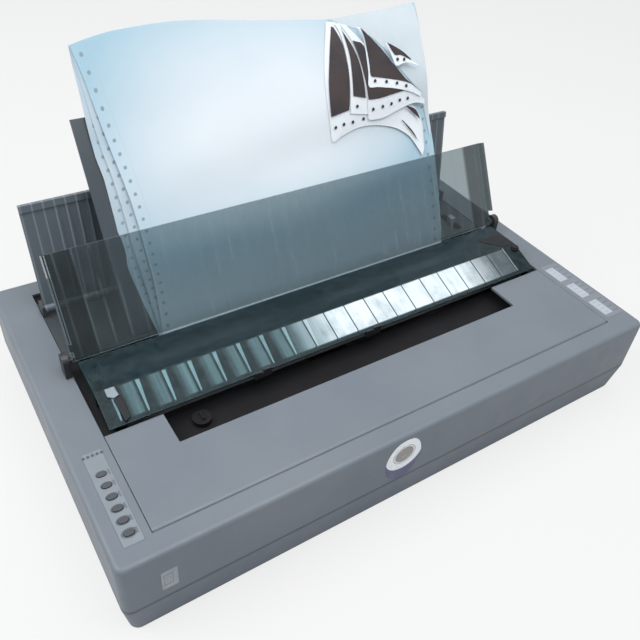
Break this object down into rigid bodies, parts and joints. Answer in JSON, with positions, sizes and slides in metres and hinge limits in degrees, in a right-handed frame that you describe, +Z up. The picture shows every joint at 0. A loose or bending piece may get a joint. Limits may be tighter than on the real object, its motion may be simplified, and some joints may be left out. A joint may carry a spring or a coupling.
{
  "type": "dot matrix printer",
  "caption": "Wide carriage dot matrix printer with a lidded case, clear tear-off strip, smoked upright cover, paper support, rear guide and a loaded continuous form.",
  "frame": {"origin": "centre of the case's footprint, at the underside of the feet", "axes": "+X to the printer's right along its width, +Y to the back, +Z up"},
  "size_m": [0.61, 0.376, 0.354],
  "materials": {
    "case_grey": "fine grain moulded plastic",
    "case_dark": "dark moulded plastic",
    "trim_black": "black moulded plastic",
    "smoked_clear": "smoked clear acrylic",
    "clear_strip": "clear acrylic",
    "paper": "matt paper",
    "steel": "brushed",
    "alloy": "satin",
    "rubber_black": "matt rubber",
    "gear_white": "satin gear plastic",
    "board_green": "solder mask",
    "tin_grey": "plain paint",
    "label_pale": "printed film",
    "badge_white": "printed film",
    "silver_film": "silver film",
    "button_grey": "satin",
    "lamp_green": "clear lens"
  },
  "bodies": {
    "case": {"lower_case": "case_grey", "feet": "rubber_black", "case_screws": "steel", "upper_case": "case_grey", "bay_liner": "case_dark", "cover_pivot_brackets": "case_dark", "tear_off_cover": "clear_strip", "tear_edge": "steel", "tear_cover_hooks": "trim_black", "rear_deck": "case_dark", "form_plies": "paper", "form_flaps": "paper", "chassis": "steel", "carriage_rod": "steel", "platen_bushes": "gear_white", "feed_motor": "tin_grey", "tractor_rod": "steel", "ribbon_cartridge": "trim_black", "ribbon": "trim_black", "timing_belt": "rubber_black", "carriage_motor": "tin_grey", "main_board": "board_green", "power_supply": "tin_grey", "data_port": "tin_grey", "power_fittings": "trim_black", "control_label": "label_pale", "status_lamps": "lamp_green", "right_label": "silver_film", "front_badge": "badge_white", "front_sticker": "silver_film"},
    "lid": {"front_lid": "case_grey"},
    "cover": {"upright_cover": "smoked_clear"},
    "guide": {"rear_guide": "case_dark"},
    "support": {"paper_support": "case_dark"},
    "platen": {"platen_shaft": "steel", "platen_roller": "rubber_black", "platen_gear": "gear_white"},
    "feed_pinion": {"feed_pinion": "alloy"},
    "feed_idler": {"feed_idler_gear": "gear_white"},
    "tractor_drive": {"tractor_shaft": "alloy"},
    "left_tractor": {"left_tractor": "trim_black"},
    "left_gate": {"left_tractor_gate": "trim_black"},
    "left_wheel": {"left_tractor_pin_wheel": "gear_white"},
    "right_tractor": {"right_tractor": "trim_black"},
    "right_gate": {"right_tractor_gate": "trim_black"},
    "right_wheel": {"right_tractor_pin_wheel": "gear_white"},
    "carriage": {"carriage": "trim_black", "print_head": "alloy"},
    "drive_pulley": {"drive_pulley": "alloy"},
    "idler_pulley": {"idler_pulley": "alloy"},
    "ribbon_knob": {"ribbon_knob": "button_grey"},
    "gap_lever": {"head_gap_lever": "case_dark"},
    "release_lever": {"paper_release_lever": "case_dark"},
    "rocker": {"power_rocker": "trim_black"},
    "button_1": {"button_1": "button_grey"},
    "button_2": {"button_2": "button_grey"},
    "button_3": {"button_3": "button_grey"},
    "button_4": {"button_4": "button_grey"},
    "button_5": {"button_5": "button_grey"},
    "button_6": {"button_6": "button_grey"}
  },
  "joints": [
    {"name": "lid_hinge", "type": "hinge", "parent": "case", "child": "lid", "pos_m": [0, -0.1624, 0.0965], "axis": [1, 0, 0], "range_deg": [0, 95]},
    {"name": "cover_hinge", "type": "hinge", "parent": "case", "child": "cover", "pos_m": [0, 0.031, 0.119], "axis": [1, 0, 0], "range_deg": [0, 118]},
    {"name": "guide_hinge", "type": "hinge", "parent": "case", "child": "guide", "pos_m": [0, 0.128, 0.1063], "axis": [1, 0, 0], "range_deg": [-20, 0]},
    {"name": "support_lift", "type": "slide", "parent": "case", "child": "support", "axis": [0, 0.4879, 0.8729], "range_m": [0, 0.06]},
    {"name": "platen_spin", "type": "hinge", "parent": "case", "child": "platen", "pos_m": [0, 0.048, 0.06], "axis": [1, 0, 0], "continuous": true},
    {"name": "left_tractor_slide", "type": "slide", "parent": "case", "child": "left_tractor", "axis": [1, 0, 0], "range_m": [-0.04, 0.1]},
    {"name": "right_tractor_slide", "type": "slide", "parent": "case", "child": "right_tractor", "axis": [1, 0, 0], "range_m": [-0.1, 0.03]},
    {"name": "feed_pinion_spin", "type": "hinge", "parent": "case", "child": "feed_pinion", "pos_m": [-0.252, 0.03461, 0.03771], "axis": [1, 0, 0], "continuous": true},
    {"name": "feed_idler_spin", "type": "hinge", "parent": "case", "child": "feed_idler", "pos_m": [-0.252, 0.07988, 0.06279], "axis": [1, 0, 0], "continuous": true},
    {"name": "tractor_spin", "type": "hinge", "parent": "case", "child": "tractor_drive", "pos_m": [0, 0.10677, 0.06514], "axis": [1, 0, 0], "continuous": true},
    {"name": "left_wheel_spin", "type": "hinge", "parent": "left_tractor", "child": "left_wheel", "pos_m": [-0.18, 0.10677, 0.06514], "axis": [1, 0, 0], "continuous": true},
    {"name": "right_wheel_spin", "type": "hinge", "parent": "right_tractor", "child": "right_wheel", "pos_m": [0.195, 0.10677, 0.06514], "axis": [1, 0, 0], "continuous": true},
    {"name": "left_gate_hinge", "type": "hinge", "parent": "left_tractor", "child": "left_gate", "pos_m": [-0.1897, 0.10677, 0.07814], "axis": [0, -1, 0], "range_deg": [0, 85]},
    {"name": "right_gate_hinge", "type": "hinge", "parent": "right_tractor", "child": "right_gate", "pos_m": [0.2047, 0.10677, 0.07814], "axis": [0, 1, 0], "range_deg": [0, 85]},
    {"name": "carriage_slide", "type": "slide", "parent": "case", "child": "carriage", "axis": [1, 0, 0], "range_m": [-0.172, 0.172]},
    {"name": "drive_pulley_spin", "type": "hinge", "parent": "case", "child": "drive_pulley", "pos_m": [-0.214, -0.042, 0.03], "axis": [0, 1, 0], "range_deg": [-1240, 1240]},
    {"name": "idler_pulley_spin", "type": "hinge", "parent": "case", "child": "idler_pulley", "pos_m": [0.214, -0.042, 0.03], "axis": [0, 1, 0], "range_deg": [-1240, 1240]},
    {"name": "ribbon_knob_spin", "type": "hinge", "parent": "case", "child": "ribbon_knob", "pos_m": [-0.18, -0.068, 0.0835], "axis": [0, 0, 1], "continuous": true},
    {"name": "gap_lever_hinge", "type": "hinge", "parent": "case", "child": "gap_lever", "pos_m": [-0.242, -0.098, 0.044], "axis": [1, 0, 0], "range_deg": [-5, 15]},
    {"name": "release_lever_hinge", "type": "hinge", "parent": "case", "child": "release_lever", "pos_m": [0.242, 0.074, 0.063], "axis": [1, 0, 0], "range_deg": [-15, 0]},
    {"name": "rocker_hinge", "type": "hinge", "parent": "case", "child": "rocker", "pos_m": [0.16, 0.182, 0.056], "axis": [0, 0, 1], "range_deg": [-5, 5]},
    {"name": "button_1_press", "type": "slide", "parent": "case", "child": "button_1", "axis": [0, 0, -1], "range_m": [0, 0.0012], "stiffness_N_per_m": 200},
    {"name": "button_2_press", "type": "slide", "parent": "case", "child": "button_2", "axis": [0, 0, -1], "range_m": [0, 0.0012], "stiffness_N_per_m": 200},
    {"name": "button_3_press", "type": "slide", "parent": "case", "child": "button_3", "axis": [0, 0, -1], "range_m": [0, 0.0012], "stiffness_N_per_m": 200},
    {"name": "button_4_press", "type": "slide", "parent": "case", "child": "button_4", "axis": [0, 0, -1], "range_m": [0, 0.0012], "stiffness_N_per_m": 200},
    {"name": "button_5_press", "type": "slide", "parent": "case", "child": "button_5", "axis": [0, 0, -1], "range_m": [0, 0.0012], "stiffness_N_per_m": 200},
    {"name": "button_6_press", "type": "slide", "parent": "case", "child": "button_6", "axis": [0, 0, -1], "range_m": [0, 0.0012], "stiffness_N_per_m": 200}
  ],
  "couplings": [
    {"joint": "feed_pinion_spin", "follows": "platen_spin", "ratio": -3.3333},
    {"joint": "feed_idler_spin", "follows": "platen_spin", "ratio": -1.6667},
    {"joint": "tractor_spin", "follows": "platen_spin", "ratio": 1.3333},
    {"joint": "left_wheel_spin", "follows": "platen_spin", "ratio": 1.3333},
    {"joint": "right_wheel_spin", "follows": "platen_spin", "ratio": 1.3333},
    {"joint": "drive_pulley_spin", "follows": "carriage_slide", "rad_per_m": 125},
    {"joint": "idler_pulley_spin", "follows": "carriage_slide", "rad_per_m": 125}
  ]
}
